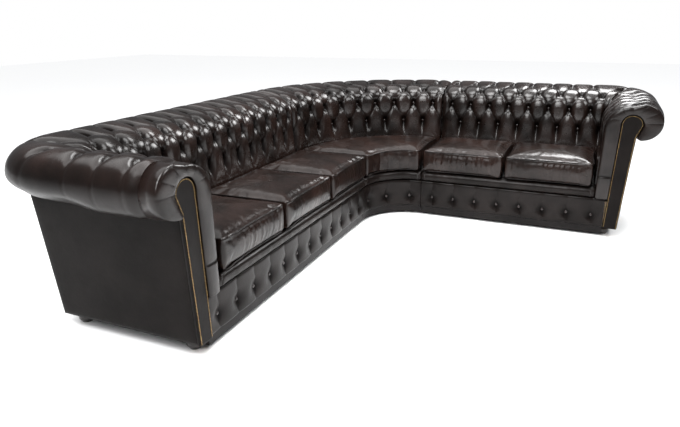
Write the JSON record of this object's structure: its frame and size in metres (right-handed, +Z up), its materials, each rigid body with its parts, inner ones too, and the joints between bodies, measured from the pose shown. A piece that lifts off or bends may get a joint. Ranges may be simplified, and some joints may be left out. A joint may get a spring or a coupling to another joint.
{
  "type": "chesterfield corner sofa",
  "caption": "Leather corner sofa with deep buttoned scroll back and arms, a curved corner unit, loose seat cushions and a buttoned front border on bun feet.",
  "frame": {"origin": "middle of the floor rectangle that the sofa fills, on the floor", "axes": "+X along the two-seat side towards its arm, +Y along the three-seat side towards the corner, +Z up"},
  "size_m": [2.381, 2.886, 0.769],
  "materials": {
    "hide": "semi-gloss dark brown hide",
    "seat_hide": "semi-gloss brown hide",
    "border_hide": "semi-gloss near-black hide",
    "panel_hide": "plain matt dark hide",
    "plinth_hide": "dark hide over a rail",
    "button_hide": "covered buttons",
    "trim_brass": "fine beaded line",
    "foot_wood": "dark stained, satin",
    "frame_wood": "raw beech and ply",
    "webbing": "woven elastic strap",
    "deck_cloth": "dark platform cloth",
    "dust_cloth": "black non-woven cloth",
    "bracket_steel": "zinc plated"
  },
  "bodies": {
    "corner_unit": {"corner_back_frame": "frame_wood", "corner_back_pad": "hide", "corner_base_frame": "frame_wood", "corner_buttons": "button_hide", "corner_dust_cover": "dust_cloth", "corner_feet": "foot_wood", "corner_front_border": "border_hide", "corner_joint_brackets": "bracket_steel", "corner_outside_back": "panel_hide", "corner_plinth_rail": "plinth_hide", "corner_seat_deck": "deck_cloth", "corner_seat_lip": "hide", "corner_seat_webbing": "webbing"},
    "left_unit": {"left_arm_facing": "border_hide", "left_arm_frame": "frame_wood", "left_arm_pad": "hide", "left_arm_ring": "border_hide", "left_back_frame": "frame_wood", "left_back_pad": "hide", "left_base_frame": "frame_wood", "left_buttons": "button_hide", "left_dust_cover": "dust_cloth", "left_facing_trim": "trim_brass", "left_feet": "foot_wood", "left_front_border": "border_hide", "left_joint_sockets": "bracket_steel", "left_outside_arm": "panel_hide", "left_outside_back": "panel_hide", "left_plinth_rail": "plinth_hide", "left_seat_deck": "deck_cloth", "left_seat_lip": "hide", "left_seat_webbing": "webbing"},
    "right_unit": {"right_arm_facing": "border_hide", "right_arm_frame": "frame_wood", "right_arm_pad": "hide", "right_arm_ring": "border_hide", "right_back_frame": "frame_wood", "right_back_pad": "hide", "right_base_frame": "frame_wood", "right_buttons": "button_hide", "right_dust_cover": "dust_cloth", "right_facing_trim": "trim_brass", "right_feet": "foot_wood", "right_front_border": "border_hide", "right_joint_sockets": "bracket_steel", "right_outside_arm": "panel_hide", "right_outside_back": "panel_hide", "right_plinth_rail": "plinth_hide", "right_seat_deck": "deck_cloth", "right_seat_lip": "hide", "right_seat_webbing": "webbing"},
    "corner_cushion": {"corner_seat_cushion": "seat_hide"},
    "left_cushion_1": {"left_seat_cushion_1": "seat_hide"},
    "left_cushion_2": {"left_seat_cushion_2": "seat_hide"},
    "left_cushion_3": {"left_seat_cushion_3": "seat_hide"},
    "right_cushion_1": {"right_seat_cushion_1": "seat_hide"},
    "right_cushion_2": {"right_seat_cushion_2": "seat_hide"}
  },
  "joints": [
    {"name": "left_unit_lift", "type": "slide", "parent": "corner_unit", "child": "left_unit", "axis": [0, 0, 1], "range_m": [0, 0.045]},
    {"name": "right_unit_lift", "type": "slide", "parent": "corner_unit", "child": "right_unit", "axis": [0, 0, 1], "range_m": [0, 0.045]},
    {"name": "corner_cushion_lift", "type": "slide", "parent": "corner_unit", "child": "corner_cushion", "axis": [0, 0, 1], "range_m": [0, 0.4]},
    {"name": "left_cushion_1_lift", "type": "slide", "parent": "left_unit", "child": "left_cushion_1", "axis": [0, 0, 1], "range_m": [0, 0.4]},
    {"name": "left_cushion_2_lift", "type": "slide", "parent": "left_unit", "child": "left_cushion_2", "axis": [0, 0, 1], "range_m": [0, 0.4]},
    {"name": "left_cushion_3_lift", "type": "slide", "parent": "left_unit", "child": "left_cushion_3", "axis": [0, 0, 1], "range_m": [0, 0.4]},
    {"name": "right_cushion_1_lift", "type": "slide", "parent": "right_unit", "child": "right_cushion_1", "axis": [0, 0, 1], "range_m": [0, 0.4]},
    {"name": "right_cushion_2_lift", "type": "slide", "parent": "right_unit", "child": "right_cushion_2", "axis": [0, 0, 1], "range_m": [0, 0.4]}
  ]
}
